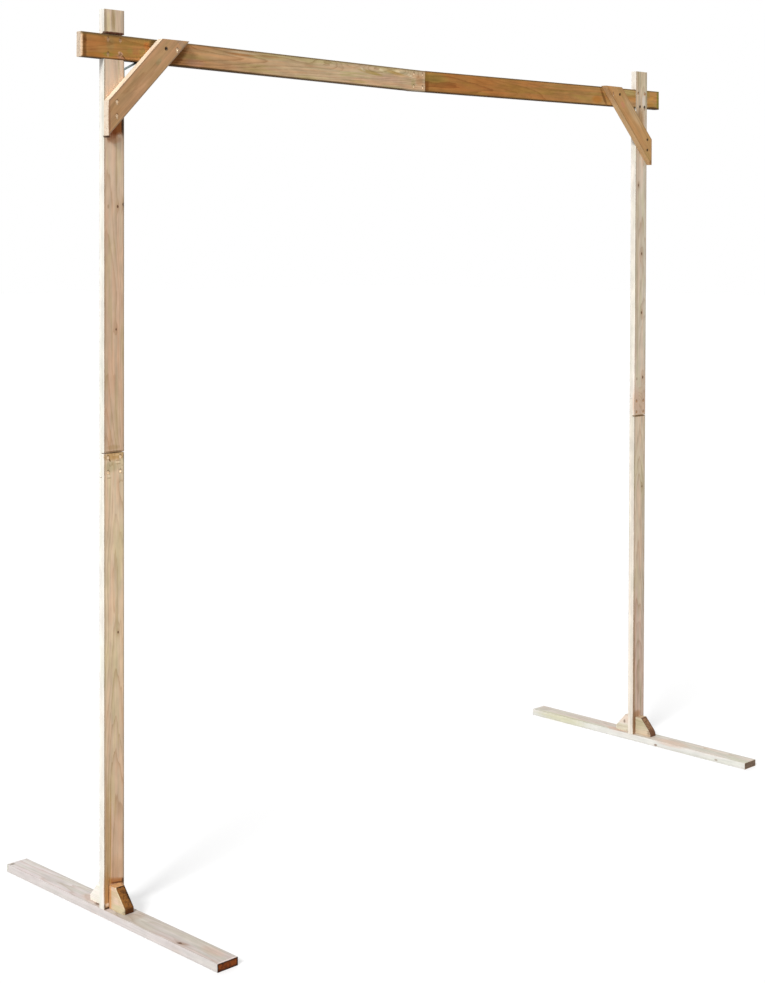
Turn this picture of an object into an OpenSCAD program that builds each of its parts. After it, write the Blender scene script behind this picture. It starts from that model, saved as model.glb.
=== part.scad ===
// Free-standing arch of planed pine boards: two posts on flat feet, joined by a beam.
// X runs along the beam, Y from front (-) to back (+), Z up from the floor.
// The origin is on the floor, midway between the posts and at the middle of the feet.
// All sizes are in millimetres.

/* [Boards] */
// Width of every board
board_w = 60; // [45:1:80]
// Thickness of every board
board_t = 20; // [16:1:28]
// Radius of the eased long edges
edge_r = 1.5; // [0.5:0.1:3]

/* [Frame] */
// Height from the floor to the tops of the posts
frame_h = 2200; // [1700:10:2600]
// Length of the beam from end to end
beam_l = 2300; // [1600:10:3000]
// How far the beam runs past the outer side of each post
overhang = 65; // [30:1:150]
// How far the posts run up past the beam
stub_h = 60; // [30:1:150]
// How far the joined beam has sunk at its middle
beam_sag = 10; // [0:1:30]

/* [Lap joints] */
// Length of the lap where two boards are joined end to end
lap_l = 60; // [40:1:120]
// Height of the middle of the laps in the posts
lap_z = 1100; // [600:10:1400]
// Gap left at the shoulders of the lap joints
shoulder_gap = 1.8; // [0.2:0.1:3]

/* [Feet] */
// Length of each foot from front to back
foot_l = 860; // [500:10:1200]
// How far the posts stand behind the middle of the feet
post_back = 12; // [0:1:40]

/* [Braces] */
// Reach of a brace along the beam and down the post, from their outer corner
brace_reach = 245; // [180:1:400]

/* [Gussets] */
// Thickness of a gusset, across the foot
gusset_t = 28; // [15:1:40]
// Length of a gusset, along the foot
gusset_l = 60; // [45:1:100]
// Height of a gusset above the foot
gusset_h = 56; // [45:1:100]
// Depth of the flat top of a gusset
gusset_top = 22; // [8:1:30]
// Height of the upright toe of a gusset
toe_h = 13; // [6:1:25]
// Radius of the one toe that is rounded over
round_toe_r = 24; // [8:1:30]

/* [Corner straps] */
// Width of the bent metal strap
strap_w = 16; // [10:1:16]
// Thickness of the strap
strap_t = 2; // [1:0.1:3]
// Where the strap meets the beam, measured from the post
strap_out = 42; // [25:1:70]
// Where the strap meets the post, measured from the beam
strap_down = 22; // [15:1:60]
// Length of the tab at each end of the strap
strap_tab = 20; // [14:1:35]

/* [Screws] */
// Diameter of a countersunk head
head_d = 8; // [6:0.5:10]
// Diameter of a pilot hole
pilot_d = 3.5; // [2.5:0.5:5]
// Depth of most heads below the surface
head_sink = 1.2; // [0:0.1:2]
// Depth of the heads that are driven in deeply, which show as dark holes
deep_sink = 4; // [0:0.1:5]
// Distance of the screws from the edges of a lap or crossing
screw_inset = 12; // [9:0.5:18]
// Height of the lower pair at the right crossing, above the lower edge of the beam
low_pair_up = 5; // [5:0.5:18]
// Distance between the two screws at each end of a brace
brace_screw_gap = 34; // [20:1:40]
// Distance of those screws from the cut end of the brace
brace_screw_in = 24; // [15:1:30]
// Distance from the tip of the brace to the middle of the pair on the beam
beam_pair_in = 56; // [45:1:75]
// Distance from the tip of the brace to the middle of the pair on the post
post_pair_in = 65; // [45:1:75]
// How far a screw reaches into the second board that it holds
bite = 16; // [8:1:18]

/* [Hidden] */
$fn = 48;

// Sides of the arch, as the sign of X
left = -1;
right = 1;
// Halves of a board's thickness, as the sign of Y
front = -1;
back = 1;

// Post and beam lie in one plane
post_x = beam_l / 2 - overhang - board_w / 2;
post_front = post_back - board_t / 2;
post_rear = post_back + board_t / 2;
beam_top = frame_h - stub_h;
beam_z = beam_top - board_w / 2;
// Each half of the sunken beam slopes by this angle, about its crossing with the post
tilt = atan(beam_sag / post_x);
// A board that stands on end starts on top of the foot
foot_top = board_t;
// Length of a brace's ends, which are cut at 45 degrees
brace_cut = board_w * sqrt(2);
// A screw through a lap stops this short of the far face
lap_screw_l = board_t / 2 + bite / 2;
// Screws driven up through a foot lie this far apart, under the post
foot_screw_gap = board_w / 2;
// Taper of a countersunk head
head_h = (head_d - pilot_d) / 2;
// Cutting blocks run this far past the wood that they cut
past = 5;
// The lower pair at the right crossing, across from the middle of the post
low_pair_x = [-8, 16];
// Steps in each quarter turn of an eased edge, and round a toe
edge_steps = 3;
toe_steps = 8;
// Radius of a sawn arris on a gusset
arris_r = 0.8;

// Finishes
pine_pale = "#d8c3a5";
pine_tan = "#c9a97f";
pine_warm = "#b28453";
pine_bleached = "#dcd0c4";
zinc = "#8e9694";

// Lower edge of the sloping beam, at a distance from the middle of its post
function beam_low(d) = beam_z - d * tan(tilt) - board_w / 2 / cos(tilt);

// A screw is [x, z, depth of its head]. Four screws, inset from the edges of a lap or crossing
function screw_square(x, z, w, h) =
    [for (i = [-1, 1], j = [-1, 1]) [x + i * (w / 2 - screw_inset), z + j * (h / 2 - screw_inset), head_sink]];

function post_lap_screws(side) = screw_square(side * post_x, lap_z, board_w, lap_l);
function beam_lap_screws() = screw_square(0, beam_z - beam_sag, lap_l, board_w);

// At the right crossing, the lower pair is low and deep
function crossing_screws(side) =
    let (square = screw_square(side * post_x, beam_z, board_w, board_w))
    side == left ? square : [
        square[1],
        square[3],
        for (x = low_pair_x) [post_x + x, beam_z - board_w / 2 + low_pair_up, deep_sink]
    ];

// Screws of a brace, from their distances to its tips. The inner one on the beam is deep,
// and so are both on the right post
function brace_beam_screws(side) =
    [for (k = [-0.5, 0.5]) [
        side * (post_x + board_w / 2 - brace_reach + beam_pair_in - k * brace_screw_gap),
        beam_top - brace_screw_in,
        k < 0 ? deep_sink : head_sink
    ]];
function brace_post_screws(side) =
    [for (k = [-0.5, 0.5]) [
        side * (post_x + board_w / 2 - brace_screw_in),
        beam_top - brace_reach + post_pair_in - k * brace_screw_gap,
        side == right ? deep_sink : head_sink
    ]];

// Points of the arc that rounds corner b between a and c
function arc_at(a, b, c, r, steps) =
    let (
        ua = (a - b) / norm(a - b),
        uc = (c - b) / norm(c - b),
        half = acos(ua * uc) / 2,
        mid = (ua + uc) / norm(ua + uc),
        centre = b + mid * r / sin(half),
        from = b + ua * r / tan(half) - centre,
        to = b + uc * r / tan(half) - centre,
        a0 = atan2(from[1], from[0]),
        swing = atan2(from[0] * to[1] - from[1] * to[0], from * to)
    )
    [for (i = [0 : steps]) centre + r * [cos(a0 + swing * i / steps), sin(a0 + swing * i / steps)]];

// A closed outline with each corner rounded by its own radius
function rounded(pts, radii, steps) =
    let (n = len(pts))
    [for (i = [0 : n - 1]) each arc_at(pts[(i + n - 1) % n], pts[i], pts[(i + 1) % n], radii[i], steps[i])];

// Corner of the inner side of a strap, where edges with the normals n1 and n2 meet
function mitre(p, n1, n2) = p + strap_t * (n1 + n2) / (1 + n1 * n2);

// Section of a board, centred, with its width along X
module board_section() {
    w = board_w / 2;
    t = board_t / 2;
    polygon(rounded(
        [[-w, -t], [w, -t], [w, t], [-w, t]],
        [for (i = [0 : 3]) edge_r],
        [for (i = [0 : 3]) edge_steps]
    ));
}

// Board from low to high along Z, its wide faces to the front and back
module upright(x, low, high)
    translate([x, post_back, low])
        linear_extrude(high - low)
            board_section();

// Board from x0 to x1 along X, on edge
module level(x0, x1)
    translate([x0, post_back, beam_z])
        rotate([90, 0, 90])
            linear_extrude(x1 - x0)
                rotate(90)
                    board_section();

// Slopes a half of the beam down from its crossing with the post, to the middle
module sloping(side)
    translate([side * post_x, 0, beam_z])
        rotate([0, -side * tilt, 0])
            translate([-side * post_x, 0, -beam_z])
                children();

// Block that takes away the front or the back half of a board's thickness
// low and high are [x, z]
module half_block(low, high, half)
    translate([low[0], half == front ? post_front - past : post_back, low[1]])
        cube([high[0] - low[0], board_t / 2 + past, high[1] - low[1]]);

// Housing in a post for the beam: it rests on the lower shoulder, with the gap above
module beam_housing(side, half)
    sloping(side)
        half_block(
            [side * post_x - board_w, beam_z - board_w / 2],
            [side * post_x + board_w, beam_z + board_w / 2 + shoulder_gap],
            half
        );

// Housing in the beam for a post, with half of the gap at each shoulder
module post_housing(side, half)
    half_block(
        [side * post_x - board_w / 2 - shoulder_gap / 2, beam_z - board_w],
        [side * post_x + board_w / 2 + shoulder_gap / 2, beam_z + board_w],
        half
    );

// Pilot hole with a countersunk mouth, driven from the origin along +Z
module pilot(depth, sink = head_sink) {
    translate([0, 0, -past])
        cylinder(d = head_d, h = past + sink);
    translate([0, 0, sink])
        cylinder(d1 = head_d, d2 = pilot_d, h = head_h);
    cylinder(d = pilot_d, h = depth);
}

// Pilot holes for screws that are driven back from the plane at y
module pilots(screws, y, depth)
    for (s = screws)
        translate([s[0], y, s[1]])
            rotate([-90, 0, 0])
                pilot(depth, s[2]);

// Pilot holes of a brace, through the brace and into the board behind it
module brace_pilots(screws) pilots(screws, post_front - board_t, board_t + bite);

// Plain holes for the two screws of a strap, into the post and into the beam
module strap_pilots(side) {
    d = board_w / 2 + strap_out + strap_tab / 2;
    translate([side * (post_x - board_w / 2), post_back, beam_low(board_w / 2) - strap_down - strap_tab / 2])
        rotate([0, 90, 0])
            cylinder(d = pilot_d, h = 2 * bite, center = true);
    translate([side * (post_x - d), post_back, beam_low(d)])
        cylinder(d = pilot_d, h = 2 * bite, center = true);
}

// Pilot holes up through a foot, into the post and into both gussets
module foot_pilots(side) {
    middle = [gusset_l / 2, gusset_l / 2];
    for (x = [-1, 1])
        translate([side * post_x + x * foot_screw_gap / 2, post_back, 0])
            pilot(foot_top + 2 * bite);
    for (y = [post_front - gusset_l * 0.4, post_rear + gusset_l * 0.4])
        translate([side * post_x, y, 0])
            pilot(foot_top + bite);
}

// Lower board of a post. tongue is the half of its thickness that runs up into the lap
module post_lower(side, tongue)
    difference() {
        upright(side * post_x, foot_top, lap_z + lap_l / 2 - shoulder_gap);
        half_block(
            [side * post_x - board_w, lap_z - lap_l / 2],
            [side * post_x + board_w, lap_z + lap_l / 2 + past],
            -tongue
        );
        pilots(post_lap_screws(side), post_front, lap_screw_l);
        foot_pilots(side);
    }

// Upper board of a post. tongue is the half that runs down into the lap,
// and housed is the half that is cut away for the beam
module post_upper(side, tongue, housed)
    difference() {
        upright(side * post_x, lap_z - lap_l / 2 + shoulder_gap, frame_h);
        half_block(
            [side * post_x - board_w, lap_z - lap_l / 2 - past],
            [side * post_x + board_w, lap_z + lap_l / 2],
            -tongue
        );
        beam_housing(side, housed);
        pilots(post_lap_screws(side), post_front, lap_screw_l);
        pilots(crossing_screws(side), post_front, lap_screw_l);
        brace_pilots(brace_post_screws(side));
        strap_pilots(side);
    }

// One half of the beam, from its outer end to the lap in the middle
// tongue is the half that runs into the lap, and housed is cut away for the post
module beam_half(side, tongue, housed)
    difference() {
        sloping(side)
            if (side == left)
                level(-beam_l / 2, lap_l);
            else
                level(-lap_l, beam_l / 2);
        for (half = [front, back])
            half_block(
                [side == left ? (half == tongue ? lap_l / 2 - shoulder_gap : -lap_l / 2) : -2 * lap_l,
                    beam_z - 2 * board_w],
                [side == left ? 2 * lap_l : (half == tongue ? shoulder_gap - lap_l / 2 : lap_l / 2),
                    beam_z + board_w],
                half
            );
        post_housing(side, housed);
        pilots(beam_lap_screws(), post_front, lap_screw_l);
        pilots(crossing_screws(side), post_front, lap_screw_l);
        brace_pilots(brace_beam_screws(side));
        strap_pilots(side);
    }

// Foot lying flat under a post
module foot(side)
    difference() {
        translate([side * post_x, foot_l / 2, board_t / 2])
            rotate([90, 0, 0])
                linear_extrude(foot_l)
                    board_section();
        foot_pilots(side);
    }

// Knee brace on the front of a corner: a board at 45 degrees whose ends are cut
// level with the top of the beam and with the outer side of the post
module brace(side)
    difference() {
        translate([side * (post_x + board_w / 2), post_front - board_t / 2, beam_top])
            mirror([side == right ? 1 : 0, 0, 0])
                intersection() {
                    mid = (brace_reach - brace_cut / 2) / 2;
                    long = (brace_reach + brace_cut) * sqrt(2);
                    translate([mid, 0, -mid])
                        rotate([0, 45, 0])
                            linear_extrude(long, center = true)
                                board_section();
                    translate([0, -board_t, -brace_reach - past])
                        cube([brace_reach + past, 2 * board_t, brace_reach + past]);
                }
        brace_pilots(brace_beam_screws(side));
        brace_pilots(brace_post_screws(side));
    }

// Gusset before or behind a post, with its toe rounded by nose_r
module gusset(side, half, nose_r) {
    outline = [
        [0, 0], [gusset_l, 0], [gusset_l, toe_h], [gusset_top, gusset_h], [0, gusset_h]
    ];
    difference() {
        translate([side * post_x, half == front ? post_front : post_rear, foot_top])
            mirror([0, half == back ? 1 : 0, 0])
                translate([gusset_t / 2, 0, 0])
                    rotate([90, 0, -90])
                        linear_extrude(gusset_t)
                            polygon(rounded(
                                outline,
                                [arris_r, arris_r, nose_r, arris_r, arris_r],
                                [1, 1, toe_steps, 2, 1]
                            ));
        foot_pilots(side);
    }
}

// Bent strap in the inner corner of post and beam, drawn for the left side
module strap(side) {
    high = beam_low(board_w / 2) - strap_down;
    d_out = board_w / 2 + strap_out;
    d_end = d_out + strap_tab;
    low_end = [board_w / 2, high - strap_tab];
    low_bend = [board_w / 2, high];
    high_bend = [d_out, beam_low(d_out)];
    high_end = [d_end, beam_low(d_end)];
    web = (high_bend - low_bend) / norm(high_bend - low_bend);
    n_post = [1, 0];
    n_web = [web[1], -web[0]];
    n_beam = [-sin(tilt), -cos(tilt)];
    difference() {
        mirror([side == right ? 1 : 0, 0, 0])
            translate([-post_x, post_back, 0])
                rotate([90, 0, 0])
                    linear_extrude(strap_w, center = true)
                        polygon([
                            low_end, low_bend, high_bend, high_end,
                            high_end + strap_t * n_beam, mitre(high_bend, n_web, n_beam),
                            mitre(low_bend, n_post, n_web), low_end + strap_t * n_post
                        ]);
        strap_pilots(side);
    }
}

module left_foot() color(pine_bleached) foot(left);
module right_foot() color(pine_bleached) foot(right);
module left_post_lower() color(pine_pale) post_lower(left, front);
module left_post_upper() color(pine_pale) post_upper(left, back, front);
module right_post_lower() color(pine_pale) post_lower(right, back);
module right_post_upper() color(pine_pale) post_upper(right, front, back);
module beam_left() color(pine_tan) beam_half(left, front, back);
module beam_right() color(pine_warm) beam_half(right, back, front);
module left_brace() color(pine_warm) brace(left);
module right_brace() color(pine_warm) brace(right);
module left_gusset_front() color(pine_tan) gusset(left, front, arris_r);
module left_gusset_back() color(pine_tan) gusset(left, back, arris_r);
module right_gusset_front() color(pine_tan) gusset(right, front, round_toe_r);
module right_gusset_back() color(pine_tan) gusset(right, back, arris_r);
module left_corner_strap() color(zinc) strap(left);
module right_corner_strap() color(zinc) strap(right);

left_foot();
right_foot();
left_post_lower();
left_post_upper();
right_post_lower();
right_post_upper();
beam_left();
beam_right();
left_brace();
right_brace();
left_gusset_front();
left_gusset_back();
right_gusset_front();
right_gusset_back();
left_corner_strap();
right_corner_strap();
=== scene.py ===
import math

import bmesh
import bpy
from mathutils import Euler, Matrix, Vector


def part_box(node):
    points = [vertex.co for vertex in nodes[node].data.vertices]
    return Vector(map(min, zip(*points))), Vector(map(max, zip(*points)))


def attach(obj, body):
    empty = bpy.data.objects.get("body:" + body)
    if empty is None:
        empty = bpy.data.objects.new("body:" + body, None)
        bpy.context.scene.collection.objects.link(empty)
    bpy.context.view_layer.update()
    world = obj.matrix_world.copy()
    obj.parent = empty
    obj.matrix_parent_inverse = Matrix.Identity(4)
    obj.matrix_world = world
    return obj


# An arch of planed pine boards on two feet: its wood, straps, screws, floor, light and camera
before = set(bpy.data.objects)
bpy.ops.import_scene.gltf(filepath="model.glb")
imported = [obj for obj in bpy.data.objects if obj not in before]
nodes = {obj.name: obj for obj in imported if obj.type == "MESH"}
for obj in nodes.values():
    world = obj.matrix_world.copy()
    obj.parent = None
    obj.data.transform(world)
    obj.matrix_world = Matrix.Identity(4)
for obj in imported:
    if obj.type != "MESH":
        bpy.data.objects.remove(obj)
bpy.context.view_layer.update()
print("frame loaded:", len(nodes), "nodes")


# Shader maths reads as plain Python: a Wire is a socket's output

class Wire:
    def __init__(self, shader, socket):
        self.shader = shader
        self.socket = socket

    def out(self, name):  # another output of the same node
        return Wire(self.shader, self.socket.node.outputs[name])

    def __add__(self, other):
        return self.shader.maths("ADD", self, other)

    __radd__ = __add__

    def __sub__(self, other):
        return self.shader.maths("SUBTRACT", self, other)

    def __rsub__(self, other):
        return self.shader.maths("SUBTRACT", other, self)

    def __mul__(self, other):
        return self.shader.maths("MULTIPLY", self, other)

    __rmul__ = __mul__

    def __truediv__(self, other):
        return self.shader.maths("DIVIDE", self, other)

    def __pow__(self, other):
        return self.shader.maths("POWER", self, other)

    def __abs__(self):
        return self.shader.maths("ABSOLUTE", self)


class Shader:  # nodes of one material, or of the world
    def __init__(self, owner):
        self.owner = owner
        owner.use_nodes = True
        self.tree = owner.node_tree
        self.tree.nodes.clear()

    def node(self, kind, settings=None, inputs=None, output=0):
        made = self.tree.nodes.new("ShaderNode" + kind)
        for key, value in (settings or {}).items():
            setattr(made, key, value)
        for key, value in (inputs or {}).items():
            if isinstance(value, Wire):
                self.tree.links.new(value.socket, made.inputs[key])
            else:
                made.inputs[key].default_value = value
        return Wire(self, made.outputs[output]) if made.outputs else None

    def maths(self, operation, *values):
        return self.node("Math", {"operation": operation}, dict(enumerate(values)))

    def extreme(self, operation, values):  # the MINIMUM or MAXIMUM of a list
        found = values[0]
        for value in values[1:]:
            found = self.maths(operation, found, value)
        return found

    def blend(self, share, first, second, mode="MIX"):  # inputs 6 and 7 and output 2 are colours
        first, second = (c if isinstance(c, Wire) else (*c, 1) for c in (first, second))
        settings = {"data_type": "RGBA", "blend_type": mode}
        return self.node("Mix", settings, {0: share, 6: first, 7: second}, 2)

    def step(self, value, low, high):  # 0 at low, 1 at high, smooth between
        return self.node("MapRange", {"interpolation_type": "SMOOTHSTEP"}, {0: value, 1: low, 2: high})

    def vector(self, operation, *values, output=0):
        return self.node("VectorMath", {"operation": operation}, dict(enumerate(values)), output)

    def noise(self, place, pace, detail=2.0, roughness=0.5):
        stretched = self.vector("MULTIPLY", place, pace)
        return self.node("TexNoise", None, {
            "Vector": stretched, "Scale": 1.0, "Detail": detail, "Roughness": roughness,
        })

    def drift(self, value, detail=1.0):  # noise along a line
        return self.node("TexNoise", {"noise_dimensions": "1D"}, {"W": value, "Scale": 1.0, "Detail": detail})

    def surface(self, inputs):
        made = self.node("BsdfPrincipled", None, inputs)
        self.node("OutputMaterial", None, {"Surface": made})
        return self.owner


# The arch's sizes come from the frame, in metres

sides = ((-1, "left"), (1, "right"))  # which way along X
postLow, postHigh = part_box("right_post_upper")
postFoot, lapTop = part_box("right_post_lower")
braceLow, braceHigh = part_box("right_brace")
arch = {
    "postX": (postLow.x + postHigh.x) / 2,
    "boardWide": postHigh.x - postLow.x,
    "boardThick": postHigh.y - postLow.y,
    "front": postLow.y,  # of the posts and the beam
    "middle": (postLow.y + postHigh.y) / 2,
    "lapZ": (postLow.z + lapTop.z) / 2,
    "beamTop": braceHigh.z,
    "braceReach": braceHigh.z - braceLow.z,
    "footTop": postFoot.z,
    "sag": 0.010,  # how far the beam's lap lies below the line between its crossings
}
arch["beamZ"] = arch["beamTop"] - arch["boardWide"] / 2
screwPlaces = {
    "inset": 0.018,  # from the middle of a lap or crossing, both ways
    "braceIn": 0.024,  # from the top of the beam or the outside of the post
    "braceGap": 0.034,  # between the two screws at one end of a brace
    "beamPairIn": 0.056,  # from the end of the brace to the middle of its pair
    "postPairIn": 0.065,
    "lowPairUp": 0.005,  # the lower two at the right crossing, above the beam's edge
    "lowPairX": (-0.008, 0.016),  # from the post's middle
    "footGap": 0.015,  # under a foot, to both sides of the post's middle
    "gussetIn": 0.024,  # into the gussets, from the post's face
    "tabDown": 0.032,  # on a strap, below the beam
    "tabOut": 0.082,  # on a strap, inwards from the post's middle
    "tabThick": 0.002,
}


# Points on the front of a post, a brace and the beam, which sags to the middle, and on top of a foot

def onPost(x, z):
    return (x, arch["front"], z)


def onBrace(x, z):
    return (x, arch["front"] - arch["boardThick"], z)


def onBeam(x, up):
    return (x, arch["front"], arch["beamZ"] - arch["sag"] * (1 - abs(x) / arch["postX"]) + up)


def onFoot(x, y):
    return (x, y, arch["footTop"])


def square(x, z):
    inset = screwPlaces["inset"]
    return [(onPost(x + i * inset, z + j * inset), False) for i in (-1, 1) for j in (-1, 1)]


# Each screw is its place on the face of the board and whether it is driven deep
crossingLow = arch["beamZ"] - arch["boardWide"] / 2 + screwPlaces["lowPairUp"]
screws = {
    "left_lap": square(-arch["postX"], arch["lapZ"]),
    "right_lap": square(arch["postX"], arch["lapZ"]),
    "beam_lap": square(0, arch["beamZ"] - arch["sag"]),
    "left_crossing": square(-arch["postX"], arch["beamZ"]),
    "right_crossing": square(arch["postX"], arch["beamZ"])[1::2] + [
        (onPost(arch["postX"] + x, crossingLow), True) for x in screwPlaces["lowPairX"]
    ],
}
for side, label in sides:
    outer = side * (arch["postX"] + arch["boardWide"] / 2)
    screws[label + "_brace"] = []
    for k in (-0.5, 0.5):
        x = outer - side * (arch["braceReach"] - screwPlaces["beamPairIn"] + k * screwPlaces["braceGap"])
        z = arch["beamTop"] - arch["braceReach"] + screwPlaces["postPairIn"] - k * screwPlaces["braceGap"]
        screws[label + "_brace"] += [
            (onBrace(x, arch["beamTop"] - screwPlaces["braceIn"]), k < 0),
            (onBrace(outer - side * screwPlaces["braceIn"], z), side > 0),
        ]


# Pine. Each board is cut from its own place in the tree, so its rings run through it
# as they would in the real one, from face to end grain

plainPine = {
    "turn": (0, 0, 0),  # degrees that turn the board's own axes, along, depth and across, into place
    "thick": arch["boardThick"],
    "wide": arch["boardWide"],
    "shift": 0.0,  # how far across its centreline lies from the middle of its box
    "seed": 0.0,
    "pith": (0.006, 0.075),  # heart of the tree, across the board and behind it
    "wander": 0.016,  # how far the heart strays sideways
    "taper": 0.020,  # ring radius lost for each metre along the board
    "swell": 0.0075,  # how far the rings bend, slowly and in ripples
    "ripple": 0.0016,
    "ringWidth": 0.0030,
    "ringShow": 0.7,
    "early": (0.66, 0.48, 0.33),  # wood between the rings
    "rings": (0.60, 0.44, 0.30),  # what the dark of each ring lets through
    "warm": (0.66, 0.43, 0.27),  # tone of the broad streaks
    "edge": (0.80, 0.77, 0.69),  # narrow sides
    "under": None,  # painted shade: tone of the side that faces down
    "endEarly": (0.60, 0.42, 0.25),  # cut ends, between the rings and on them
    "endLate": (0.34, 0.19, 0.09),
    "checks": (0.05, 0.03, 0.02),  # cracks in the cut ends
    "rim": (0.72, 0.56, 0.38),  # border of the cut ends
    "rimShow": 0.6,
    "rimWide": 0.0022,
    "rimFull": 0.0004,  # the rim has its whole tone this near the edge
    "farRimShade": None,  # painted shade: tone of the rim away from the side that the board's depth points to
    "nearRimWide": 0.0042,  # on that side it keeps its own tone, this far in
    "nearRimFull": 0.0030,
    "gloss": 0.18,  # how much the planed faces mirror
    "fade": None,  # from, to, and the tones beyond: early and warm
    "rosy": (1.06, 0.96, 0.92),
    "olive": (0.94, 0.99, 0.85),
    "tint": 0.7,  # how strongly rosy and olive streaks show
    "patchy": 0.45,  # how strongly light and dark patches and bands show
    "borderShade": (0.27, 0.20, 0.13),  # painted shade along the borders of the wide faces, where their rounded edges turn from the light
    "borderShadeWide": 0.0058,  # where the painted shade starts and where it is full, from the edge
    "borderShadeFull": 0.0012,
    "borderShadeShow": 0.6,  # how strongly the painted shade shows
    # how far in the painted shade along the arrises reaches
    "cornerWide": 0.0035,
    "knots": (),  # place and radius
    "swirls": (),  # grain that bends round a knot under the face: place, radius and bend
    "stainsAndPaintedLight": (),  # stains, and painted shadows, shade and highlights: place, reach along, depth and across, tone, strength, and the degrees of its slant
    "screws": (),
    "highlightBelowScrew": (0.95, 0.80, 0.58),  # painted highlight on the wood below a screw, where the countersink's lower rim would catch the light
    "markRagged": 0.0025,
    "screwMarksAndPaintedLight": (  # round the screws, a ring of crushed wood with painted shade, painted shade above, a painted highlight below and painted shade over the deep holes: deep or not, how far above the screw, reach, tone (or None for the highlight tone), strength
        # the ring, partly crushed wood and partly painted shade; painted shade above; painted highlight
        # below; painted shade in the deep holes
        (False, 0.0, (0.0044, 0.0070), (0.24, 0.12, 0.05), 0.35),
        (False, 0.0048, (0.0010, 0.0038), (0.13, 0.060, 0.025), 0.55),
        (False, -0.0052, (0.0008, 0.0030), None, 0.50),
        (True, 0.0, (0.0042, 0.0056), (0.075, 0.035, 0.012), 0.85),
    ),
}
knot = {  # dark at its bark, with the grain bent round it
    "heart": (0.20, 0.085, 0.035),
    "years": (0.10, 0.04, 0.015),
    "bark": (0.055, 0.025, 0.012),
    "lean": 0.25,  # sideways for each metre of depth
    "stretch": 0.5,  # below 1, it is longer along the board
    "haloStretch": 0.16,
    "haloReach": 2.4,  # bent grain, in radii
    "bend": 1.1,
    "ragged": 0.45,
}
woodNoise = {  # changes in a metre along, through and across the board, then detail and roughness
    "swell": ((2.6, 26.0, 26.0), 2.0, 0.5),
    "ripple": ((14.0, 110.0, 110.0), 1.0, 0.5),
    "years": ((0.6, 60.0, 60.0), 0.0, 0.5),  # wide and narrow rings
    "fray": ((9.0, 520.0, 520.0), 2.0, 0.5),  # ragged edges of the rings
    "ragged": ((260.0, 260.0, 260.0), 2.0, 0.5),
    "fibre": ((22.0, 1500.0, 1500.0), 2.0, 0.6),
    "streaks": ((4.0, 260.0, 260.0), 3.0, 0.55),
    "broad": ((2.4, 55.0, 55.0), 2.0, 0.5),
    "bands": ((1.6, 100.0, 100.0), 2.0, 0.5),
    "patches": ((22.0, 70.0, 70.0), 2.0, 0.5),
    "hue": ((7.0, 48.0, 48.0), 2.0, 0.5),
    "lines": ((3.5, 640.0, 640.0), 2.0, 0.5),
    "pores": ((70.0, 2200.0, 2200.0), 1.0, 0.5),
    "blotch": ((420.0, 420.0, 420.0), 2.0, 0.7),
    "spots": ((170.0, 170.0, 170.0), 2.0, 0.6),
    "fade": ((5.0, 40.0, 40.0), 2.0, 0.5),
    "checks": ((9.0, 130.0, 130.0), 0.0, 0.5),
    "sawn": ((300.0, 900.0, 260.0), 2.0, 0.5),
}


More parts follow.
